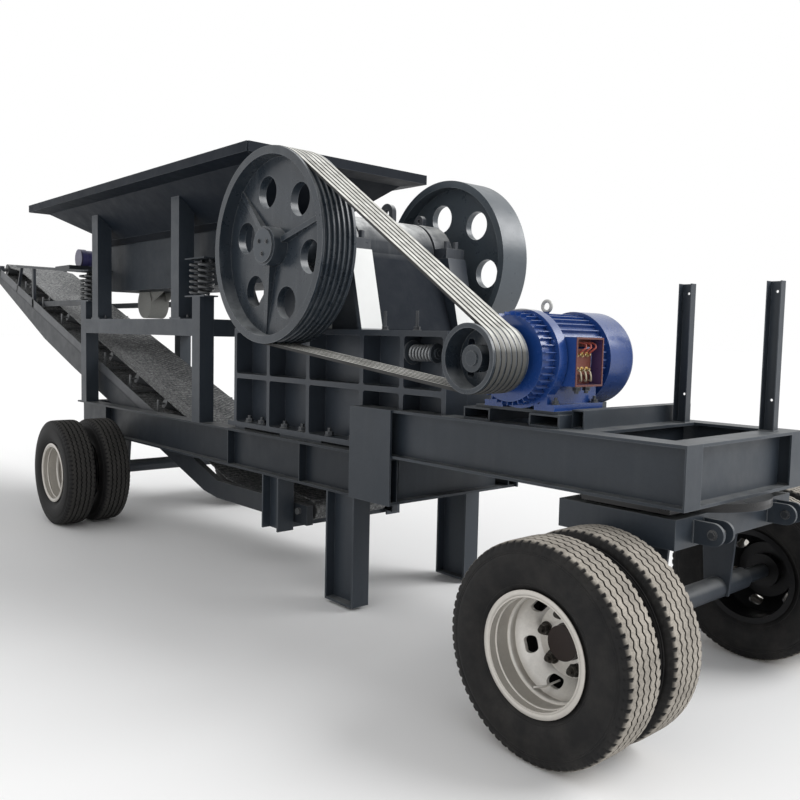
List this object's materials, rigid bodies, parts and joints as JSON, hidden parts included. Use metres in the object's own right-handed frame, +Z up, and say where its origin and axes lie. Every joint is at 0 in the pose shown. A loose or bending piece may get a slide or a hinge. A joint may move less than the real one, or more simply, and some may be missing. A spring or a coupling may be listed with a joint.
{
  "type": "jaw crushing plant",
  "caption": "Wheeled jaw crushing plant with feed hopper, vibrating feeder, belt-driven jaw crusher, electric motor and discharge conveyor.",
  "frame": {"origin": "middle of the bounding box at ground level", "axes": "+X lengthwise towards the motor and steering wheels, -Y the side with the drive belts, +Z up"},
  "size_m": [8.766, 2.102, 2.628],
  "materials": {
    "frame_paint": "satin",
    "crusher_paint": "satin",
    "wheel_paint": "satin",
    "jaw_steel": "matte",
    "shaft_steel": "satin",
    "motor_blue": "gloss",
    "motor_violet": "satin",
    "belt_rubber": "matte",
    "conveyor_rubber": "matte",
    "tyre_rubber": "matte",
    "rim_silver": "satin",
    "spring_steel": "gloss"
  },
  "bodies": {
    "plant": {"back_wall": "crusher_paint", "bearing_caps": "crusher_paint", "conveyor_belt": "conveyor_rubber", "conveyor_drums": "frame_paint", "conveyor_frame": "frame_paint", "conveyor_guard": "frame_paint", "conveyor_idlers": "frame_paint", "cross_beams": "frame_paint", "fan_cover": "motor_blue", "feeder_exciter": "frame_paint", "feeder_frame": "frame_paint", "feeder_motor": "motor_violet", "feeder_springs": "spring_steel", "feeder_trough": "frame_paint", "front_posts": "frame_paint", "hopper_ends": "frame_paint", "hopper_legs": "frame_paint", "hopper_sides": "frame_paint", "jaw_plates": "jaw_steel", "lower_beams": "frame_paint", "motor_base": "frame_paint", "motor_body": "motor_blue", "rear_axle": "frame_paint", "side_wall_left": "crusher_paint", "side_wall_right": "crusher_paint", "splice_plates": "frame_paint", "support_legs": "frame_paint", "swing_jaw": "crusher_paint", "swing_jaw_plate": "jaw_steel", "tail_hanger": "frame_paint", "tension_rods": "shaft_steel", "tension_springs": "spring_steel", "terminal_box": "motor_blue", "toggle_block": "crusher_paint", "toggle_plate": "jaw_steel", "turntable_plate": "frame_paint", "upper_beams": "frame_paint", "v_belts": "belt_rubber"},
    "bogie": {"bogie_frame": "frame_paint", "front_axle": "frame_paint"},
    "crusher_shaft": {"eccentric_shaft": "shaft_steel", "grooved_sheave": "wheel_paint", "plain_flywheel": "wheel_paint"},
    "motor_shaft": {"motor_pulley": "wheel_paint"},
    "front_right_wheels": {"front_right_tyres": "tyre_rubber", "front_right_rims": "rim_silver"},
    "front_left_wheels": {"front_left_tyres": "tyre_rubber", "front_left_rims": "rim_silver"},
    "rear_right_wheels": {"rear_right_tyres": "tyre_rubber", "rear_right_rims": "rim_silver"},
    "rear_left_wheels": {"rear_left_tyres": "tyre_rubber", "rear_left_rims": "rim_silver"}
  },
  "joints": [
    {"name": "shaft_spin", "type": "hinge", "parent": "plant", "child": "crusher_shaft", "pos_m": [1.8485, 0, 1.998], "axis": [0, 1, 0], "continuous": true},
    {"name": "motor_spin", "type": "hinge", "parent": "plant", "child": "motor_shaft", "pos_m": [3.4065, 0, 1.432], "axis": [0, 1, 0], "continuous": true},
    {"name": "bogie_steer", "type": "hinge", "parent": "plant", "child": "bogie", "pos_m": [3.9965, 0, 0.864], "axis": [0, 0, 1], "range_deg": [-60, 60]},
    {"name": "front_right_roll", "type": "hinge", "parent": "bogie", "child": "front_right_wheels", "pos_m": [3.9965, -0.807, 0.405], "axis": [0, 1, 0], "continuous": true},
    {"name": "front_left_roll", "type": "hinge", "parent": "bogie", "child": "front_left_wheels", "pos_m": [3.9965, 0.807, 0.405], "axis": [0, 1, 0], "continuous": true},
    {"name": "rear_right_roll", "type": "hinge", "parent": "plant", "child": "rear_right_wheels", "pos_m": [-0.7595, -0.807, 0.405], "axis": [0, 1, 0], "continuous": true},
    {"name": "rear_left_roll", "type": "hinge", "parent": "plant", "child": "rear_left_wheels", "pos_m": [-0.7595, 0.807, 0.405], "axis": [0, 1, 0], "continuous": true}
  ],
  "couplings": [
    {"joint": "motor_spin", "follows": "shaft_spin", "ratio": 3.66}
  ]
}
